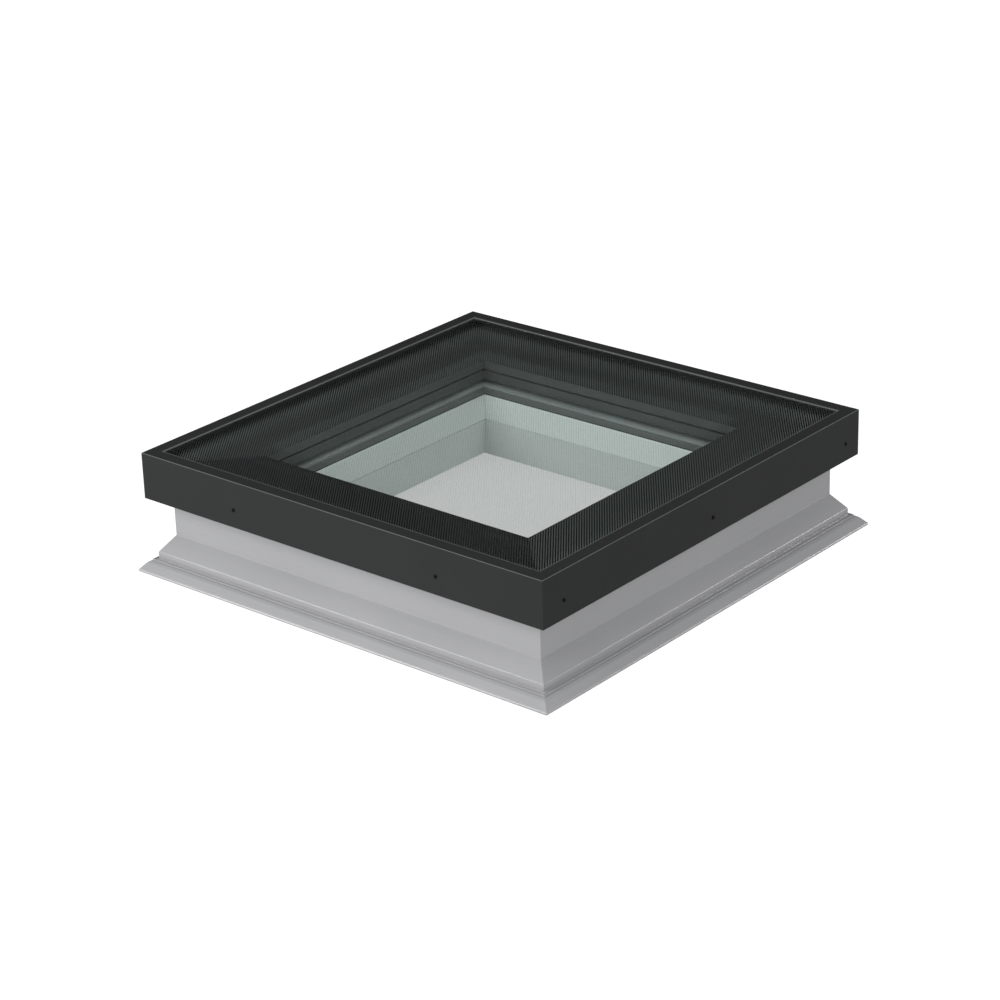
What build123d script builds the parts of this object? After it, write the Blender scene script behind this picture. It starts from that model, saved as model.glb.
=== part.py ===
"""Fixed walk-on skylight for a flat roof: a square upstand of hollow PVC lengths
filled with insulation, a glazing frame on top of it, a stepped triple glazed unit
whose thick outer pane can be walked on, and an aluminium cover screwed on from the
sides.

Millimetres, +Z up. The origin is the middle of the footprint on the plane the foot
stands on. Every section is drawn once for the front side (-Y) as (d, z): d is the
distance inward from the outer face of the cover and z the height above the foot.
"""

import math
import os

from build123d import *

# ---------------------------------------------------------------- driving sizes
COVER_W = 900.0            # square, outside faces of the cover
TOP_Z = 226.0              # top of the cover

# cover
COVER_T = 2.0
COVER_BOTTOM_Z = 139.7
COVER_LIP = 27.5           # width of the flange over the pane
COVER_EDGE_R = 0.8
COVER_LIP_R = 1.4

# glazed unit, from the top down
PANE_TOP_Z = 223.6
PANE_T = 19.6              # laminated, walked on
PANE_D = 4.5               # pane edge, inward from the cover's outer face
PRINT_T = 0.3              # dark enamel border under the pane
PRINT_D = 153.8            # inner edge of that border
UPPER_SPACER_H = 17.1
MIDDLE_T = 4.0
LOWER_SPACER_H = 17.0
INNER_T = 9.0              # laminated inner pane
UNIT_D = 134.0             # edge of the two lower panes
SEAL_W = 8.0
SPACER_W = 11.0

# glazing frame
FRAME_D = 2.5
FRAME_REBATE_D = 130.0
FRAME_LEDGE_D = 164.0
FRAME_WALL = 3.0
TAPE_T = 3.1
SEAT_GASKET_T = 4.0
CURB_GASKET_T = 2.0

# upstand
CURB_TOP_Z = 139.6
CURB_WALL_D = 35.5
REVEAL_D = 167.0
REVEAL_CREASE_Z = 90.7
FOOT_IN_D = 130.0
FOOT_OUT_D = -15.3

# fasteners
COVER_SCREW_Z = 172.5
COVER_SCREW_HEAD_R = 3.5
COVER_SCREW_HEAD_H = 2.0
COVER_SCREW_R = 1.75
COVER_SCREW_L = 16.0
SCREWS_TWO = [-229.8, 226.8]             # along the front and back sides
SCREWS_THREE = [-396.2, 6.9, 409.7]      # along the right and left sides, in y
FRAME_SCREW_D = 111.0
FRAME_SCREWS = [-240.0, 0.0, 240.0]
FRAME_SCREW_R = 2.4
FRAME_SCREW_HEAD_R = 4.5
FRAME_SCREW_HEAD_H = 3.0
FRAME_SCREW_L = 28.0
RUN = 0.05                               # clearance round a shank

HALF = COVER_W / 2.0

# ---------------------------------------------------------------- derived levels
pane_bot = PANE_TOP_Z - PANE_T
print_bot = pane_bot - PRINT_T
mid_top = print_bot - UPPER_SPACER_H
mid_bot = mid_top - MIDDLE_T
inner_top = mid_bot - LOWER_SPACER_H
inner_bot = inner_top - INNER_T
frame_top = print_bot - TAPE_T
ledge_top = inner_bot - SEAT_GASKET_T
frame_bot = CURB_TOP_Z + CURB_GASKET_T
cover_under = TOP_Z - COVER_T

SIDES = {"front": 0, "right": 90, "back": 180, "left": 270}


# ---------------------------------------------------------------- helpers
def outline(points):
    """Closed wire of the front side's section plane from (d, z, corner radius)."""
    n = len(points)
    corner = []
    for i, (d, z, r) in enumerate(points):
        p = (d, z)
        if r <= 0:
            corner.append((p, None, p))
            continue
        a, b = points[i - 1], points[(i + 1) % n]
        ua = (a[0] - d, a[1] - z)
        ub = (b[0] - d, b[1] - z)
        la, lb = math.hypot(*ua), math.hypot(*ub)
        ua = (ua[0] / la, ua[1] / la)
        ub = (ub[0] / lb, ub[1] / lb)
        half = math.acos(max(-1.0, min(1.0, ua[0] * ub[0] + ua[1] * ub[1]))) / 2.0
        t = r / math.tan(half)
        bis = (ua[0] + ub[0], ua[1] + ub[1])
        lbis = math.hypot(*bis)
        reach = r / math.sin(half) - r
        mid = (d + bis[0] / lbis * reach, z + bis[1] / lbis * reach)
        corner.append(
            ((d + ua[0] * t, z + ua[1] * t), mid, (d + ub[0] * t, z + ub[1] * t))
        )

    def at(p):
        return (0.0, -HALF + p[0], p[1])

    edges = []
    for i, (start, mid, end) in enumerate(corner):
        if mid is not None:
            edges.append(ThreePointArc(at(start), at(mid), at(end)))
        nxt = corner[(i + 1) % n][0]
        if math.dist(end, nxt) > 1e-6:
            edges.append(Line(at(end), at(nxt)))
    return Wire(edges)


def length_of(points, voids=()):
    """A mitred length of the front side with the given section and chambers."""
    face = Face(outline(points), [outline(v) for v in voids])
    bar = extrude(face, amount=HALF + 60.0, dir=(1, 0, 0), both=True)
    far = HALF + 40.0
    wedge = extrude(
        Face(
            Wire(
                [
                    Line((0, 0, -20), (far, -far, -20)),
                    Line((far, -far, -20), (-far, -far, -20)),
                    Line((-far, -far, -20), (0, 0, -20)),
                ]
            )
        ),
        amount=TOP_Z + 60.0,
        dir=(0, 0, 1),
    )
    return bar & wedge


def rect(d0, d1, z0, z1):
    return [(d0, z0, 0), (d1, z0, 0), (d1, z1, 0), (d0, z1, 0)]


def ring(d0, d1, z0, z1):
    """Square ring between two inward distances."""
    h = z1 - z0
    outer = Box(COVER_W - 2 * d0, COVER_W - 2 * d0, h)
    inner = Box(COVER_W - 2 * d1, COVER_W - 2 * d1, h + 2)
    return Pos(0, 0, (z0 + z1) / 2) * (outer - inner)


def plate(d, z0, z1, arris):
    """Square pane with its edges ground off."""
    w = COVER_W - 2 * d
    p = Pos(0, 0, (z0 + z1) / 2) * Box(w, w, z1 - z0)
    flat = [
        e
        for e in p.edges()
        if abs(e.center().Z - z0) < 1e-6 or abs(e.center().Z - z1) < 1e-6
    ]
    return chamfer(flat, arris)


def across(s, z, r, d0, d1):
    """Cylinder through the front side, along the inward direction."""
    return Pos(s, -HALF + (d0 + d1) / 2, z) * Rot(90, 0, 0) * Cylinder(r, d1 - d0)


def upright(s, d, r, z0, z1):
    return Pos(s, -HALF + d, (z0 + z1) / 2) * Cylinder(r, z1 - z0)


def turned(shape, side):
    return Rot(0, 0, SIDES[side]) * shape


def stations(side):
    """Cover screw places along a side, in that side's own direction."""
    if side in ("front", "back"):
        return SCREWS_TWO
    if side == "right":
        return SCREWS_THREE
    return [-y for y in SCREWS_THREE]


os.makedirs("parts", exist_ok=True)
made = {}


def keep(name, shape):
    solids = shape.solids()
    out = solids[0] if len(solids) == 1 else Compound(children=list(solids))
    out.label = name
    made[name] = out


# ---------------------------------------------------------------- upstand lengths
curb_section = [
    (CURB_WALL_D, CURB_TOP_Z, 1.0),
    (CURB_WALL_D, 65.3, 0.6),             # wall meets the splayed skirt
    (11.5, 35.0, 3.8),                    # rounded shoulder of the skirt
    (11.5, 22.0, 0.8),                    # step down to the flange
    (6.2, 20.9, 0.0),
    (5.3, 20.7, 0.0),                     # groove behind the bead
    (4.9, 22.1, 0.4),                     # bead that stops the roof membrane
    (3.2, 21.9, 0.5),
    (4.1, 20.5, 0.0),                     # undercut below the bead
    (4.0, 19.9, 0.0),
    (2.2, 19.5, 0.0),
    (-3.2, 16.4, 5.0),                    # flange rolls over
    (-14.4, 4.2, 0.8),
    (FOOT_OUT_D, 2.6, 0.0),
    (FOOT_OUT_D, 0.0, 0.0),
    (FOOT_IN_D, 0.0, 1.0),
    (166.3, REVEAL_CREASE_Z - 1.7, 0.0),
    (164.9, REVEAL_CREASE_Z - 1.2, 0.0),  # groove for a lining board
    (164.9, REVEAL_CREASE_Z + 0.6, 0.0),
    (REVEAL_D, REVEAL_CREASE_Z + 1.0, 0.0),
    (REVEAL_D, CURB_TOP_Z, 1.2),
]
outer_chamber = [
    (38.5, 135.0, 1.0),
    (38.5, 64.0, 0.0),
    (15.0, 34.4, 1.0),
    (15.0, 4.0, 1.0),
    (92.0, 4.0, 1.0),
    (92.0, 135.0, 1.0),
]
inner_chamber = [
    (95.0, 135.0, 1.0),
    (95.0, 4.0, 1.0),
    (127.4, 4.0, 1.0),
    (161.8, 88.0, 0.0),
    (161.8, 135.0, 1.0),
]
flange_chamber = [
    (-7.6, 3.5, 0.0),
    (12.0, 3.5, 0.6),
    (12.0, 18.2, 0.6),
    (2.0, 15.6, 0.0),
    (-1.6, 10.6, 0.0),
]

curb = length_of(curb_section, [outer_chamber, inner_chamber, flange_chamber])
outer_core = length_of(outer_chamber)
inner_core = length_of(inner_chamber)
for s in FRAME_SCREWS:
    bore = upright(
        s,
        FRAME_SCREW_D,
        FRAME_SCREW_R + RUN,
        frame_bot - FRAME_SCREW_L,
        CURB_TOP_Z + 1.0,
    )
    curb = curb - bore
    inner_core = inner_core - bore

# ---------------------------------------------------------------- glazing frame
frame_section = [
    (FRAME_D, frame_bot, 0.8),
    (FRAME_D, frame_top, 0.8),
    (FRAME_REBATE_D, frame_top, 0.8),
    (FRAME_REBATE_D, ledge_top, 0.0),
    (FRAME_LEDGE_D, ledge_top, 1.0),
    (FRAME_LEDGE_D, frame_bot, 1.0),
]
zc0, zc1 = frame_bot + FRAME_WALL, frame_top - FRAME_WALL
web_a, web_b = 36.5, 93.5
frame_chambers = [
    rect(FRAME_D + FRAME_WALL, web_a, zc0, zc1),
    rect(web_a + FRAME_WALL, web_b, zc0, zc1),
    rect(web_b + FRAME_WALL, FRAME_REBATE_D - FRAME_WALL, zc0, zc1),
]
frame = length_of(frame_section, frame_chambers)
for s in FRAME_SCREWS:
    frame = frame - upright(
        s, FRAME_SCREW_D, FRAME_SCREW_R + RUN, frame_bot - 1.0, zc0 + 1.0
    )

# rolled steel box in the middle chamber
gap, wall = 0.5, 2.0
d0, d1 = web_a + FRAME_WALL + gap, web_b - gap
steel = length_of(
    rect(d0, d1, zc0 + gap, zc1 - gap),
    [rect(d0 + wall, d1 - wall, zc0 + gap + wall, zc1 - gap - wall)],
)

# ---------------------------------------------------------------- cover lengths
cover_section = [
    (0.0, COVER_BOTTOM_Z, 0.0),
    (0.0, TOP_Z, COVER_EDGE_R),
    (COVER_LIP, TOP_Z, COVER_LIP_R),
    (COVER_LIP, cover_under, 0.0),
    (COVER_T, cover_under, 0.0),
    (COVER_T, COVER_BOTTOM_Z, 0.0),
]
cover = length_of(cover_section)

cover_screw = (
    across(0, 0, COVER_SCREW_HEAD_R, -COVER_SCREW_HEAD_H, 0.0)
    + across(0, 0, COVER_SCREW_R, 0.0, COVER_SCREW_L)
)
rim = [
    e
    for e in cover_screw.edges()
    if e.geom_type == GeomType.CIRCLE
    and abs(e.center().Y - (-HALF - COVER_SCREW_HEAD_H)) < 1e-6
]
cover_screw = fillet(rim, 1.1)
socket = Pos(0, -HALF - COVER_SCREW_HEAD_H, 0) * Rot(90, 0, 0) * extrude(
    RegularPolygon(1.55, 6), amount=1.3, both=True
)
cover_screw = cover_screw - socket

screws = []
for side in SIDES:
    frame_here = frame
    cover_here = cover
    for s in stations(side):
        frame_here = frame_here - across(
            s, COVER_SCREW_Z, COVER_SCREW_R + RUN, 0.0, FRAME_D + FRAME_WALL + 1.0
        )
        cover_here = cover_here - across(
            s, COVER_SCREW_Z, COVER_SCREW_R + 0.25, -1.0, COVER_T + 0.2
        )
        screws += turned(Pos(s, 0, COVER_SCREW_Z) * cover_screw, side).solids()
    keep("curb_" + side, turned(curb, side))
    keep("curb_core_" + side, turned(outer_core + inner_core, side))
    keep("glazing_frame_" + side, turned(frame_here, side))
    keep("frame_reinforcement_" + side, turned(steel, side))
    keep("cover_" + side, turned(cover_here, side))
keep("cover_screws", Compound(children=screws))

# angle keys behind the cover's mitres, beside the pane's corners
key_t, key_leg, key_z0, key_z1 = 1.5, 45.0, 206.0, 221.0
key_out = HALF - COVER_T
key = Pos(key_out - key_leg / 2, key_out - key_t / 2, (key_z0 + key_z1) / 2) * Box(
    key_leg, key_t, key_z1 - key_z0
) + Pos(key_out - key_t / 2, key_out - key_leg / 2, (key_z0 + key_z1) / 2) * Box(
    key_t, key_leg, key_z1 - key_z0
)
keys = []
for a in (0, 90, 180, 270):
    keys += (Rot(0, 0, a) * key).solids()
keep("cover_corner_keys", Compound(children=keys))

# ---------------------------------------------------------------- glazed unit
keep("walk_on_pane", plate(PANE_D, pane_bot, PANE_TOP_Z, 0.8))
keep("border_print", ring(PANE_D + 1.0, PRINT_D, print_bot, pane_bot))
keep("middle_pane", plate(UNIT_D, mid_bot, mid_top, 0.4))
keep("inner_pane", plate(UNIT_D, inner_bot, inner_top, 0.5))
spacer_d = UNIT_D + SEAL_W
keep("upper_spacer", ring(spacer_d, spacer_d + SPACER_W, mid_top, print_bot))
keep("lower_spacer", ring(spacer_d, spacer_d + SPACER_W, inner_top, mid_bot))
seal = (
    ring(UNIT_D + 0.4, spacer_d, mid_top, print_bot).solids()
    + ring(UNIT_D + 0.4, spacer_d, inner_top, mid_bot).solids()
)
keep("glazing_edge_seal", Compound(children=list(seal)))

# ---------------------------------------------------------------- beds and gaskets
keep("pane_bed_tape", ring(22.0, 124.0, frame_top, print_bot))
keep("seat_gasket", ring(UNIT_D + 2.0, 160.0, ledge_top, inner_bot))
keep("cover_gasket", ring(13.0, COVER_LIP - 0.6, PANE_TOP_Z, cover_under))
curb_gasket = ring(CURB_WALL_D + 1.5, FRAME_LEDGE_D - 0.5, CURB_TOP_Z, frame_bot)
for side in SIDES:
    for s in FRAME_SCREWS:
        curb_gasket = curb_gasket - turned(
            upright(
                s, FRAME_SCREW_D, FRAME_SCREW_R + RUN, CURB_TOP_Z - 1, frame_bot + 1
            ),
            side,
        )
keep("curb_gasket", curb_gasket)

blocks = []
for side in SIDES:
    for s in (-190.0, 190.0):
        block = Pos(
            s,
            -HALF + (FRAME_REBATE_D + UNIT_D) / 2,
            (inner_bot + 1.0 + mid_top - 0.5) / 2,
        ) * Box(60.0, UNIT_D - FRAME_REBATE_D, mid_top - 0.5 - inner_bot - 1.0)
        blocks += turned(block, side).solids()
keep("setting_blocks", Compound(children=blocks))

# ---------------------------------------------------------------- frame to upstand
frame_screw = upright(
    0, FRAME_SCREW_D, FRAME_SCREW_HEAD_R, zc0, zc0 + FRAME_SCREW_HEAD_H
) + upright(0, FRAME_SCREW_D, FRAME_SCREW_R, frame_bot - FRAME_SCREW_L + 0.5, zc0)
frame_screws = []
for side in SIDES:
    for s in FRAME_SCREWS:
        frame_screws += turned(Pos(s, 0, 0) * frame_screw, side).solids()
keep("frame_screws", Compound(children=frame_screws))

for name, shape in made.items():
    export_step(shape, "parts/" + name + ".step")
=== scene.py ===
"""Looks of a fixed walk-on skylight: coated metal cover, striped pane with a dark
border, stepped glazed unit and a pale plastic upstand. Metres, +Z up, origin in the
middle of the foot."""

import math

import bmesh
import bpy
from mathutils import Matrix, Vector


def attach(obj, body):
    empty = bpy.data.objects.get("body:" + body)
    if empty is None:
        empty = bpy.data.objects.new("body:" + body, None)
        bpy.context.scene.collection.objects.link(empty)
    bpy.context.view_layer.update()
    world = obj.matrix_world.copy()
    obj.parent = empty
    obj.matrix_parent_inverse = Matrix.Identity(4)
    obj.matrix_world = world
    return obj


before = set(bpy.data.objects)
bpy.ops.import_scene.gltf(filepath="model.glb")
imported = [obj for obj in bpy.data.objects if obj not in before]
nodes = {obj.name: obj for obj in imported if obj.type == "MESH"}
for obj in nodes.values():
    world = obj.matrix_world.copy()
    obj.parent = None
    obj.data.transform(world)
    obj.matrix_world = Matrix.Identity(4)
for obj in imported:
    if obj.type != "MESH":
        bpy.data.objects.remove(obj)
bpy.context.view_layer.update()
scene = bpy.context.scene
SIDES = ("front", "right", "back", "left")


# ------------------------------------------------------------------ node helpers
class Tree:
    """Small helper over a material's node tree."""

    def __init__(self, name):
        self.mat = bpy.data.materials.new(name)
        self.mat.use_nodes = True
        self.nt = self.mat.node_tree
        self.nt.nodes.clear()
        self.out = self.add("ShaderNodeOutputMaterial")
        self.coord = self.add("ShaderNodeTexCoord").outputs["Object"]

    def add(self, kind, **props):
        n = self.nt.nodes.new(kind)
        for k, v in props.items():
            setattr(n, k, v)
        return n

    def link(self, a, b):
        self.nt.links.new(a, b)

    def mapped(self, scale):
        m = self.add("ShaderNodeMapping")
        m.inputs["Scale"].default_value = scale
        self.link(self.coord, m.inputs["Vector"])
        return m.outputs["Vector"]

    def noise(self, scale, detail=2.0, rough=0.5, vector=None, distortion=0.0):
        n = self.add("ShaderNodeTexNoise")
        n.inputs["Scale"].default_value = scale
        n.inputs["Detail"].default_value = detail
        n.inputs["Roughness"].default_value = rough
        n.inputs["Distortion"].default_value = distortion
        self.link(vector if vector is not None else self.coord, n.inputs["Vector"])
        return n.outputs["Fac"]

    def spread(self, fac, lo, hi, a=0.3, b=0.7):
        m = self.add("ShaderNodeMapRange")
        m.inputs["From Min"].default_value = a
        m.inputs["From Max"].default_value = b
        m.inputs["To Min"].default_value = lo
        m.inputs["To Max"].default_value = hi
        self.link(fac, m.inputs["Value"])
        return m.outputs["Result"]

    def math(self, op, a, b=None, clamp=False):
        m = self.add("ShaderNodeMath", operation=op, use_clamp=clamp)
        for i, v in enumerate((a, b)):
            if v is None:
                continue
            if isinstance(v, (int, float)):
                m.inputs[i].default_value = v
            else:
                self.link(v, m.inputs[i])
        return m.outputs["Value"]

    def reach(self, sep):
        """Distance from the middle, measured square to the sides."""
        return self.math(
            "MAXIMUM",
            self.math("ABSOLUTE", sep.outputs["X"]),
            self.math("ABSOLUTE", sep.outputs["Y"]),
        )

    def band(self, value, a, b, soft):
        """One between a and b, fading out over soft on both sides."""
        return self.math(
            "MINIMUM",
            self.spread(value, 0.0, 1.0, a - soft, a),
            self.spread(value, 1.0, 0.0, b, b + soft),
        )

    def colour(self, fac, dark, light, a=0.3, b=0.7):
        r = self.add("ShaderNodeValToRGB")
        e = r.color_ramp.elements
        e[0].position, e[1].position = a, b
        e[0].color = (*dark, 1.0)
        e[1].color = (*light, 1.0)
        self.link(fac, r.inputs["Fac"])
        return r.outputs["Color"]

    def bump(self, height, strength, distance, normal=None):
        b = self.add("ShaderNodeBump")
        b.inputs["Strength"].default_value = strength
        b.inputs["Distance"].default_value = distance
        self.link(height, b.inputs["Height"])
        if normal is not None:
            self.link(normal, b.inputs["Normal"])
        return b.outputs["Normal"]

    def principled(self, metallic=0.0, specular=0.5, ior=1.45):
        p = self.add("ShaderNodeBsdfPrincipled")
        p.inputs["Metallic"].default_value = metallic
        p.inputs["Specular IOR Level"].default_value = specular
        p.inputs["IOR"].default_value = ior
        self.link(p.outputs["BSDF"], self.out.inputs["Surface"])
        return p


def shade(c, k):
    return tuple(min(1.0, v * k) for v in c)


def grained(
    name,
    base,
    rough,
    vary=0.06,
    cloud=9.0,
    grain=900.0,
    bump=0.15,
    depth=0.00005,
    stretch=None,
    metallic=0.0,
    specular=0.5,
    rough_vary=0.06,
):
    """Solid finish with a slow colour drift, a fine grain and uneven gloss. stretch
    draws the grain out into lines along one axis."""
    t = Tree(name)
    p = t.principled(metallic=metallic, specular=specular)
    slow = t.noise(cloud, detail=3.0)
    fine = t.noise(grain, detail=2.0, vector=t.mapped(stretch) if stretch else None)
    both = t.math("ADD", t.math("MULTIPLY", slow, 0.65), t.math("MULTIPLY", fine, 0.35))
    t.link(
        t.colour(both, shade(base, 1.0 - vary), shade(base, 1.0 + vary), 0.35, 0.65),
        p.inputs["Base Color"],
    )
    t.link(
        t.spread(both, max(0.02, rough - rough_vary), min(1.0, rough + rough_vary)),
        p.inputs["Roughness"],
    )
    t.link(t.bump(fine, bump, depth), p.inputs["Normal"])
    return t.mat


# ------------------------------------------------------------------ finishes
def cover_finish():
    """Fine structured powder coat: slight orange peel, sparkle-free, satin; paler along the top
    outer edge as a painted highlight, and paler along the cut edge that lies on the pane, a bare edge whose paleness is
    partly a painted highlight."""
    t = Tree("cover_coating")
    p = t.principled(specular=0.07)
    peel = t.noise(420.0, detail=3.0, rough=0.55)
    grit = t.noise(1700.0, detail=2.0)
    slow = t.noise(5.0, detail=4.0)
    base = (0.0310, 0.0316, 0.0322)
    mix = t.math("ADD", t.math("MULTIPLY", slow, 0.7), t.math("MULTIPLY", grit, 0.3))
    sep = t.add("ShaderNodeSeparateXYZ")
    t.link(t.coord, sep.inputs["Vector"])
    reach = t.reach(sep)
    # painted highlight: the coat is made paler along the top outer edge, and along the lip's cut edge, which is partly
    # a bare edge and partly a painted highlight
    outer = t.math(
        "MULTIPLY",
        t.spread(reach, 0.0, 1.0, 0.44880, 0.44965),
        t.spread(sep.outputs["Z"], 0.0, 1.0, 0.22480, 0.22565),
    )
    lip = t.spread(reach, 1.0, 0.0, 0.42340, 0.42600)
    edge_highlight_and_cut_edge = t.math("MAXIMUM", outer, t.math("MULTIPLY", lip, 0.92))
    edge_highlight_and_cut_edge = t.math("MULTIPLY", edge_highlight_and_cut_edge, t.spread(slow, 0.8, 1.0))
    both = t.add("ShaderNodeMix", data_type="RGBA")
    t.link(edge_highlight_and_cut_edge, both.inputs["Factor"])
    t.link(
        t.colour(mix, shade(base, 0.95), shade(base, 1.05), 0.35, 0.65), both.inputs[6]
    )
    t.link(
        t.colour(grit, (0.150, 0.152, 0.154), (0.190, 0.192, 0.194), 0.35, 0.65),
        both.inputs[7],
    )
    t.link(both.outputs[2], p.inputs["Base Color"])
    t.link(t.spread(mix, 0.25, 0.31, 0.35, 0.65), p.inputs["Roughness"])
    n = t.bump(grit, 0.08, 0.00003)
    t.link(t.bump(peel, 0.08, 0.00006, n), p.inputs["Normal"])
    return t.mat


def curb_finish(name, along):
    """Extruded PVC: satin, with very faint die lines along the length, with painted shade
    in the grooves on both sides of the flange's bead and a painted highlight on the bead."""
    t = Tree(name)
    p = t.principled(specular=0.5)
    stretch = (0.012, 1.0, 1.0) if along == "x" else (1.0, 0.012, 1.0)
    lines = t.noise(380.0, detail=3.0, vector=t.mapped(stretch))
    grain = t.noise(1300.0, detail=2.0)
    slow = t.noise(4.0, detail=4.0, rough=0.6)
    base = (0.410, 0.410, 0.418)
    lining = (0.82, 0.875, 0.855)
    mix = t.math("ADD", t.math("MULTIPLY", slow, 0.6), t.math("MULTIPLY", lines, 0.4))
    sep = t.add("ShaderNodeSeparateXYZ")
    t.link(t.coord, sep.inputs["Vector"])
    reach = t.reach(sep)
    both = t.add("ShaderNodeMix", data_type="RGBA")
    t.link(t.spread(reach, 0.0, 1.0, 0.345, 0.36), both.inputs["Factor"])
    t.link(
        t.colour(mix, shade(lining, 0.97), shade(lining, 1.03), 0.35, 0.65),
        both.inputs[6],
    )
    t.link(
        t.colour(mix, shade(base, 0.97), shade(base, 1.03), 0.35, 0.65),
        both.inputs[7],
    )
    z = sep.outputs["Z"]
    # painted shade in the grooves beside the flange's bead, in the notch under it and on the strip below it, and a
    # painted highlight on the bead
    low = t.spread(z, 1.0, 0.0, 0.0226, 0.0234)
    groove = t.math("MULTIPLY", t.band(reach, 0.4420, 0.4443, 0.0008), -0.17)
    notch = t.math("MULTIPLY", t.band(reach, 0.4474, 0.4488, 0.0005), -0.24)
    strip = t.math("MULTIPLY", t.band(reach, 0.4494, 0.4530, 0.0015), -0.06)
    bead = t.math("MULTIPLY", t.band(reach, 0.4451, 0.4469, 0.0003), 0.03)
    painted_shade_and_highlight = t.math("ADD", t.math("ADD", groove, notch), t.math("ADD", strip, bead))
    painted_shade_and_highlight = t.math("MULTIPLY", painted_shade_and_highlight, low)
    # painted shade in the groove under the reveal and along its welded inner corners
    rim = t.math("MULTIPLY", t.band(z, 0.0894, 0.0914, 0.0004), -0.16)
    gap = t.math(
        "ABSOLUTE",
        t.math(
            "SUBTRACT",
            t.math("ABSOLUTE", sep.outputs["X"]),
            t.math("ABSOLUTE", sep.outputs["Y"]),
        ),
    )
    weld = t.math("MULTIPLY", t.spread(gap, 1.0, 0.0, 0.0004, 0.0010), -0.20)
    painted_reveal_shade = t.math(
        "MULTIPLY", t.math("MINIMUM", rim, weld), t.spread(reach, 1.0, 0.0, 0.330, 0.345)
    )
    shaded_base = t.add("ShaderNodeVectorMath", operation="SCALE")
    t.link(both.outputs[2], shaded_base.inputs[0])
    t.link(
        t.math("ADD", t.math("ADD", painted_shade_and_highlight, painted_reveal_shade), 1.0),
        shaded_base.inputs["Scale"],
    )
    t.link(shaded_base.outputs["Vector"], p.inputs["Base Color"])
    t.link(t.spread(mix, 0.22, 0.27, 0.35, 0.65), p.inputs["Roughness"])
    n = t.bump(grain, 0.04, 0.00003)
    t.link(t.bump(lines, 0.03, 0.00004, n), p.inputs["Normal"])
    return t.mat


def glass_finish(name, tint, ior, rough):
    """Flat pane: what is behind it is seen straight through, faintly tinted, with the
    sky mirrored on the face that looks outwards."""
    t = Tree(name)
    clear = t.add("ShaderNodeBsdfTransparent")
    clear.inputs["Color"].default_value = (*tint, 1.0)
    gloss = t.add("ShaderNodeBsdfGlossy")
    gloss.inputs["Color"].default_value = (0.95, 1.0, 0.985, 1.0)
    smear = t.noise(7.0, detail=4.0, rough=0.6)
    t.link(t.spread(smear, rough * 0.6, rough * 1.6), gloss.inputs["Roughness"])
    wave = t.noise(3.0, detail=1.0)
    t.link(t.bump(wave, 0.05, 0.0001), gloss.inputs["Normal"])
    fres = t.add("ShaderNodeFresnel")
    fres.inputs["IOR"].default_value = ior
    geo = t.add("ShaderNodeNewGeometry")
    front = t.math("SUBTRACT", 1.0, geo.outputs["Backfacing"])
    mix = t.add("ShaderNodeMixShader")
    t.link(t.math("MULTIPLY", fres.outputs["Fac"], front, clamp=True), mix.inputs["Fac"])
    t.link(clear.outputs["BSDF"], mix.inputs[1])
    t.link(gloss.outputs["BSDF"], mix.inputs[2])
    t.link(mix.outputs["Shader"], t.out.inputs["Surface"])
    return t.mat


def stripe_finish():
    """Thin ceramic print in fine lines that let most of the light through, thinner over
    the border."""
    t = Tree("antislip_print")
    clear = t.add("ShaderNodeBsdfTransparent")
    ink = t.add("ShaderNodeBsdfDiffuse")
    speck = t.noise(2600.0, detail=2.0)
    drift = t.noise(6.0, detail=3.0)
    mixed = t.math("ADD", t.math("MULTIPLY", speck, 0.5), t.math("MULTIPLY", drift, 0.5))
    sep = t.add("ShaderNodeSeparateXYZ")
    t.link(t.coord, sep.inputs["Vector"])
    t.link(
        t.colour(mixed, (0.560, 0.639, 0.608), (0.619, 0.706, 0.672), 0.3, 0.7),
        ink.inputs["Color"],
    )
    geo = t.add("ShaderNodeNewGeometry")
    front = t.math("SUBTRACT", 1.0, geo.outputs["Backfacing"])
    cover = t.math(
        "MULTIPLY",
        t.spread(mixed, 0.29, 0.31, 0.3, 0.7),
        t.spread(t.reach(sep), 1.0, 0.33, 0.290, 0.300),
    )
    mix = t.add("ShaderNodeMixShader")
    t.link(t.math("MULTIPLY", cover, front), mix.inputs["Fac"])
    t.link(clear.outputs["BSDF"], mix.inputs[1])
    t.link(ink.outputs["BSDF"], mix.inputs[2])
    t.link(mix.outputs["Shader"], t.out.inputs["Surface"])
    return t.mat


SLANT = math.radians(38.0)
PITCH = 0.0042


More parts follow.
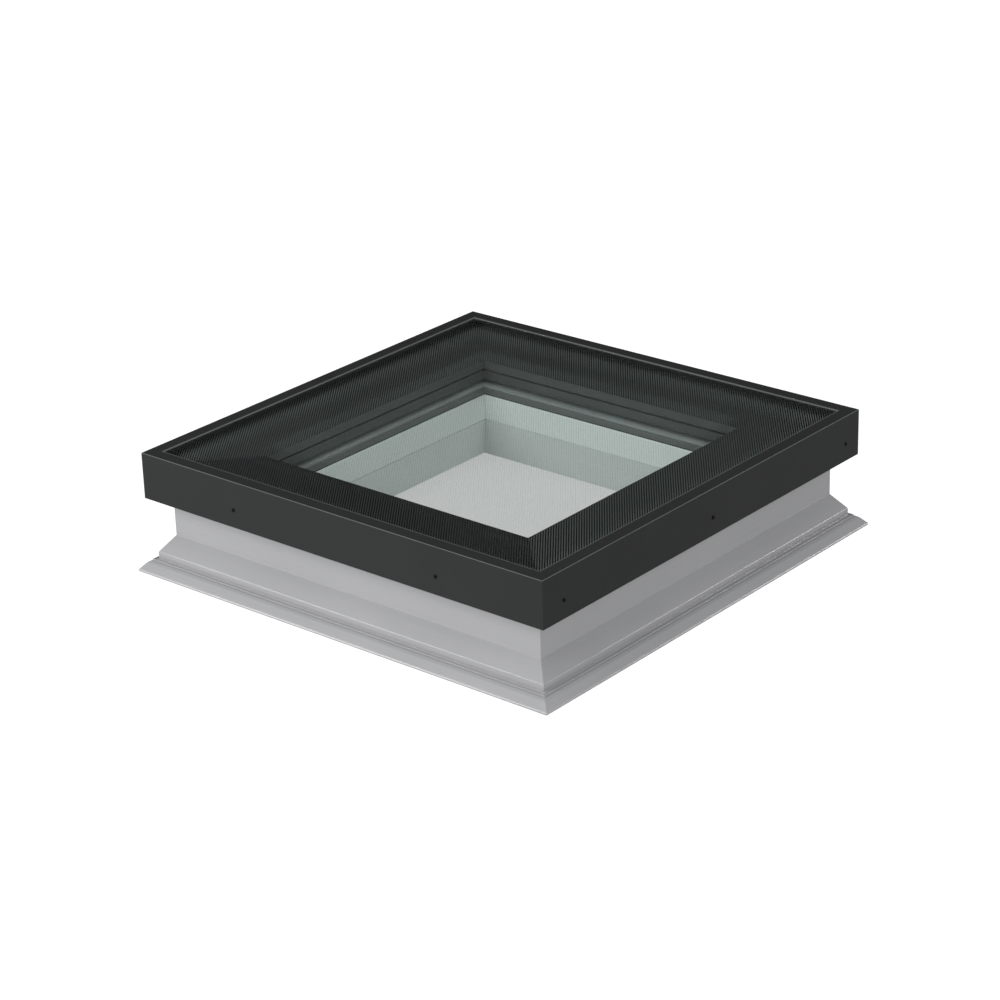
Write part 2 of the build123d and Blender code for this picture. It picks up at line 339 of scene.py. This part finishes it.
def enamel_finish():
    """Fired enamel, near black, with fine paler lines in the same slant as the anti-slip
    lines on the pane, made stronger towards the outer edge as painted light against the shade of the cover's lip."""
    t = Tree("dark_enamel")
    p = t.principled(specular=0.1)
    sep = t.add("ShaderNodeSeparateXYZ")
    t.link(t.coord, sep.inputs["Vector"])
    turns = t.math(
        "ADD",
        t.math("MULTIPLY", sep.outputs["X"], math.cos(SLANT) / PITCH),
        t.math("MULTIPLY", sep.outputs["Y"], math.sin(SLANT) / PITCH),
    )
    off = t.math("ABSOLUTE", t.math("SUBTRACT", t.math("FRACT", turns), 0.5))
    line = t.spread(off, 0.082, 0.0, 0.175, 0.245)
    speck = t.noise(2400.0, detail=2.0)
    drift = t.noise(9.0, detail=3.0)
    grain = t.math("ADD", t.math("MULTIPLY", speck, 0.5), t.math("MULTIPLY", drift, 0.5))
    # the lines grow paler towards the outer edge as painted light that lifts the shade of the cover's lip
    paler = t.math("MULTIPLY", line, t.spread(t.reach(sep), 1.0, 1.9, 0.370, 0.420))
    tone = t.math("ADD", paler, 0.0040)
    tone = t.math("MULTIPLY", tone, t.spread(grain, 0.92, 1.08, 0.3, 0.7))
    tint = t.add("ShaderNodeVectorMath", operation="SCALE")
    tint.inputs[0].default_value = (0.93, 1.05, 1.01)
    t.link(tone, tint.inputs["Scale"])
    t.link(tint.outputs["Vector"], p.inputs["Base Color"])
    t.link(t.spread(grain, 0.40, 0.50, 0.3, 0.7), p.inputs["Roughness"])
    t.link(t.bump(speck, 0.1, 0.00003), p.inputs["Normal"])
    return t.mat


def put(node, mat):
    o = nodes[node]
    o.data.materials.clear()
    o.data.materials.append(mat)


coat = cover_finish()
pvc_x = curb_finish("curb_pvc_x", "x")
pvc_y = curb_finish("curb_pvc_y", "y")
frame_x = grained("frame_pvc_x", (0.125, 0.135, 0.132), 0.5, 0.05, 6, 420, 0.12, 0.00005, (0.012, 1, 1))
frame_y = grained("frame_pvc_y", (0.125, 0.135, 0.132), 0.5, 0.05, 6, 420, 0.12, 0.00005, (1, 0.012, 1))
zinc = grained("galvanised_steel", (0.52, 0.53, 0.54), 0.42, 0.14, 60, 260, 0.10, 0.00004, None, 1.0)
foam = grained("insulation", (0.70, 0.76, 0.74), 0.9, 0.06, 12, 480, 0.5, 0.0003)
for s in SIDES:
    lengthways = s in ("front", "back")
    put("cover_" + s, coat)
    put("curb_" + s, pvc_x if lengthways else pvc_y)
    put("glazing_frame_" + s, frame_x if lengthways else frame_y)
    put("frame_reinforcement_" + s, zinc)
    put("curb_core_" + s, foam)

put("walk_on_pane", glass_finish("walk_on_glass", (0.985, 0.995, 0.992), 1.42, 0.03))
put("middle_pane", glass_finish("middle_glass", (0.994, 0.998, 0.997), 1.10, 0.02))
put("inner_pane", glass_finish("inner_glass", (0.994, 0.998, 0.997), 1.10, 0.02))
put("border_print", enamel_finish())
spacer = grained("spacer_bar", (0.060, 0.066, 0.064), 0.55, 0.08, 14, 900, 0.15, 0.00005)
put("upper_spacer", spacer)
put("lower_spacer", spacer)
put("glazing_edge_seal", grained("sealant", (0.038, 0.041, 0.041), 0.55, 0.15, 20, 500, 0.3, 0.0002))
put("pane_bed_tape", grained("bed_tape", (0.022, 0.023, 0.023), 0.85, 0.12, 20, 1400, 0.5, 0.0001))
rubber = grained("gasket_rubber", (0.030, 0.033, 0.032), 0.62, 0.10, 16, 1100, 0.25, 0.00006)
for n in ("cover_gasket", "curb_gasket"):
    put(n, rubber)
# grey rubber, made paler than the other gaskets as painted light for the shaded band seen under the inner pane
put("seat_gasket", grained("seat_rubber", (0.315, 0.341, 0.334), 0.62, 0.08, 16, 1100, 0.25, 0.00006))
put("setting_blocks", grained("block_plastic", (0.24, 0.25, 0.26), 0.5, 0.06, 30, 900, 0.15, 0.00005))
put("frame_screws", zinc)
put("cover_corner_keys", grained("key_aluminium", (0.72, 0.72, 0.73), 0.35, 0.06, 20, 700, 0.12, 0.00004, (1, 1, 0.03), 1.0))
put("cover_screws", grained("black_screws", (0.004, 0.004, 0.004), 0.20, 0.15, 300, 2600, 0.12, 0.00003, specular=0.15))


# ------------------------------------------------------------------ anti-slip print
def clip(poly, axis, limit, sign):
    """Part of a polygon on the inner side of sign * axis <= limit."""
    out = []
    for i, a in enumerate(poly):
        b = poly[(i + 1) % len(poly)]
        da, db = limit - sign * a[axis], limit - sign * b[axis]
        if da >= 0:
            out.append(a)
        if (da >= 0) != (db >= 0):
            k = da / (da - db)
            out.append((a[0] + (b[0] - a[0]) * k, a[1] + (b[1] - a[1]) * k))
    return out


def antislip():
    pitch, width = PITCH, 0.0005
    half = 0.4224                       # ends at the cover's lip
    z0, z1, ease = 0.22362, 0.22376, 0.00012
    nx, ny = math.cos(SLANT), math.sin(SLANT)
    tx, ty = -ny, nx
    bm = bmesh.new()
    count = int(half * 1.5 / pitch)

    def outline(c, w):
        p = [
            (nx * (c + sn * w / 2) + tx * st, ny * (c + sn * w / 2) + ty * st)
            for sn, st in ((-1, -1.0), (1, -1.0), (1, 1.0), (-1, 1.0))
        ]
        for axis in (0, 1):
            for sign in (1, -1):
                p = clip(p, axis, half, sign)
                if len(p) < 3:
                    return []
        return p

    for k in range(-count, count + 1):
        c = (k + 0.5) * pitch
        low, top = outline(c, width), outline(c, width - 2 * ease)
        if len(low) < 3 or len(top) != len(low):
            continue
        a = [bm.verts.new((x, y, z0)) for x, y in low]
        b = [bm.verts.new((x, y, z1)) for x, y in top]
        bm.faces.new(list(reversed(a)))
        bm.faces.new(b)
        for i in range(len(a)):
            j = (i + 1) % len(a)
            bm.faces.new((a[i], a[j], b[j], b[i]))
    mesh = bpy.data.meshes.new("antislip_stripes")
    bm.to_mesh(mesh)
    bm.free()
    o = bpy.data.objects.new("antislip_stripes", mesh)
    scene.collection.objects.link(o)
    mesh.materials.append(stripe_finish())
    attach(o, "root")
    return o


antislip()


# ------------------------------------------------------------------ floor
def floor():
    bm = bmesh.new()
    rings, turns = (0.0, 2.0, 8.0, 30.0), 48
    last = None
    centre = bm.verts.new((0, 0, -0.0004))
    for r in rings[1:]:
        now = [
            bm.verts.new((r * math.cos(a), r * math.sin(a), -0.0004))
            for a in (2 * math.pi * i / turns for i in range(turns))
        ]
        for i in range(turns):
            j = (i + 1) % turns
            if last is None:
                bm.faces.new((centre, now[i], now[j]))
            else:
                bm.faces.new((last[i], now[i], now[j], last[j]))
        last = now
    mesh = bpy.data.meshes.new("floor")
    bm.to_mesh(mesh)
    bm.free()
    o = bpy.data.objects.new("floor", mesh)
    scene.collection.objects.link(o)
    t = Tree("glowing_floor")
    sep = t.add("ShaderNodeSeparateXYZ")
    t.link(t.coord, sep.inputs["Vector"])
    reach = t.reach(sep)
    # the floor glows: to the eye it is bright paper with a painted shadow under the part, seen through the panes; as a
    # source of light standing in for bounced light it glows paler, in a pool brighter to the front left than to the
    # back right, and dimmer under the part as painted shade
    path = t.add("ShaderNodeLightPath").outputs["Is Camera Ray"]
    seen = t.spread(reach, 0.51, 1.00, 0.36, 0.42)
    pool = t.spread(t.math("ADD", sep.outputs["X"], sep.outputs["Y"]), 0.900, 0.476, -0.15, 0.15)
    outside = t.math("MULTIPLY", pool, t.spread(reach, 0.0, 1.0, 0.36, 0.42))
    cast = t.math("ADD", outside, t.spread(reach, 0.245, 0.0, 0.36, 0.42))
    glow = t.add("ShaderNodeMix", data_type="FLOAT")
    t.link(path, glow.inputs[0])
    t.link(cast, glow.inputs[2])
    t.link(seen, glow.inputs[3])
    dif = t.add("ShaderNodeBsdfDiffuse")
    dif.inputs["Color"].default_value = (0.15, 0.15, 0.15, 1.0)
    emi = t.add("ShaderNodeEmission")
    emi.inputs["Color"].default_value = (1.0, 1.0, 1.0, 1.0)
    t.link(glow.outputs[0], emi.inputs["Strength"])
    add = t.add("ShaderNodeAddShader")
    t.link(dif.outputs["BSDF"], add.inputs[0])
    t.link(emi.outputs["Emission"], add.inputs[1])
    # from below the floor is clear, so that the underside can be looked at
    clear = t.add("ShaderNodeBsdfTransparent")
    side = t.add("ShaderNodeNewGeometry").outputs["Backfacing"]
    mix = t.add("ShaderNodeMixShader")
    t.link(side, mix.inputs["Fac"])
    t.link(add.outputs["Shader"], mix.inputs[1])
    t.link(clear.outputs["BSDF"], mix.inputs[2])
    t.link(mix.outputs["Shader"], t.out.inputs["Surface"])
    t.mat.cycles.emission_sampling = "NONE"
    mesh.materials.append(t.mat)


floor()


# ------------------------------------------------------------------ light
def sky():
    world = bpy.data.worlds.new("studio")
    scene.world = world
    world.use_nodes = True
    nt = world.node_tree
    nt.nodes.clear()
    out = nt.nodes.new("ShaderNodeOutputWorld")
    bg = nt.nodes.new("ShaderNodeBackground")
    nt.links.new(bg.outputs["Background"], out.inputs["Surface"])
    tc = nt.nodes.new("ShaderNodeTexCoord")
    sep = nt.nodes.new("ShaderNodeSeparateXYZ")
    nt.links.new(tc.outputs["Generated"], sep.inputs["Vector"])
    ramp = nt.nodes.new("ShaderNodeValToRGB")
    e = ramp.color_ramp.elements
    e[0].position, e[0].color = 0.0, (0.404, 0.404, 0.408, 1.0)
    e[1].position, e[1].color = 1.0, (0.422, 0.426, 0.431, 1.0)
    m = e.new(0.50)
    m.color = (0.404, 0.408, 0.413, 1.0)
    h = e.new(0.75)
    h.color = (0.413, 0.417, 0.422, 1.0)
    nt.links.new(sep.outputs["Z"], ramp.inputs["Fac"])
    # a dark flag behind the part, so that the pane stays deep in colour
    dot = nt.nodes.new("ShaderNodeVectorMath")
    dot.operation = "DOT_PRODUCT"
    nt.links.new(tc.outputs["Generated"], dot.inputs[0])
    dot.inputs[1].default_value = Vector((-0.60, 0.70, 0.39)).normalized()
    flag = nt.nodes.new("ShaderNodeMapRange")
    flag.interpolation_type = "SMOOTHSTEP"
    flag.inputs["From Min"].default_value = 0.84
    flag.inputs["From Max"].default_value = 0.97
    flag.inputs["To Min"].default_value = 1.0
    flag.inputs["To Max"].default_value = 0.04
    nt.links.new(dot.outputs["Value"], flag.inputs["Value"])
    mul = nt.nodes.new("ShaderNodeVectorMath")
    mul.operation = "SCALE"
    nt.links.new(ramp.outputs["Color"], mul.inputs[0])
    nt.links.new(flag.outputs["Result"], mul.inputs["Scale"])
    nt.links.new(mul.outputs["Vector"], bg.inputs["Color"])
    bg.inputs["Strength"].default_value = 1.0


def area(name, loc, target, size, power, colour=(1, 1, 1)):
    d = bpy.data.lights.new(name, "AREA")
    d.shape = "RECTANGLE"
    d.size, d.size_y = size
    d.energy = power
    d.color = colour
    o = bpy.data.objects.new(name, d)
    scene.collection.objects.link(o)
    o.location = loc
    o.rotation_euler = (Vector(target) - Vector(loc)).to_track_quat("-Z", "Y").to_euler()
    return o


sky()
def aimed(name, az, el, dist, size, power, use):
    """Soft box seen from the part at an angle from the front, turning towards +X. It
    either fills evenly or only puts a shine on the edges."""
    a, e = math.radians(az), math.radians(el)
    loc = Vector((math.sin(a) * math.cos(e), -math.cos(a) * math.cos(e), math.sin(e)))
    o = area(name, loc * dist + Vector((0, 0, 0.1)), (0, 0, 0.1), size, power)
    o.visible_diffuse = use == "fill"
    o.visible_glossy = use == "shine"
    return o


aimed("fill_front", -15.0, 32.0, 4.5, (2.4, 2.2), 89.0, "fill")
aimed("fill_right", 80.0, 28.0, 4.5, (2.0, 1.6), 35.5, "fill")
aimed("fill_top", 20.0, 78.0, 4.5, (2.4, 2.4), 32.1, "fill")
aimed("key", -35.0, 13.0, 4.5, (1.6, 1.2), 66.0, "shine")
aimed("rim", 137.0, 5.0, 4.5, (1.2, 0.9), 40.0, "shine")


# ------------------------------------------------------------------ camera
def camera():
    az, el, roll = (math.radians(a) for a in (40.2891784, 23.2818876, -1.703295))
    b = Vector((math.sin(az) * math.cos(el), -math.cos(az) * math.cos(el), math.sin(el)))
    r = Vector((0, 0, 1)).cross(b).normalized()
    u = b.cross(r)
    r2 = math.cos(roll) * r + math.sin(roll) * u
    u2 = -math.sin(roll) * r + math.cos(roll) * u
    data = bpy.data.cameras.new("camera")
    data.sensor_fit = "HORIZONTAL"
    data.sensor_width = 36.0
    data.lens = 104.714
    data.clip_start, data.clip_end = 0.05, 100.0
    o = bpy.data.objects.new("camera", data)
    scene.collection.objects.link(o)
    m = Matrix((r2, u2, b)).transposed().to_4x4()
    m.translation = (3.07259672, -3.63958979, 2.14268293)
    o.matrix_world = m
    scene.camera = o


camera()

scene.view_settings.view_transform = "Standard"
scene.view_settings.look = "None"
scene.cycles.use_denoising = True
scene.cycles.transparent_max_bounces = 20
scene.cycles.max_bounces = 6
scene.cycles.diffuse_bounces = 4
scene.cycles.glossy_bounces = 3
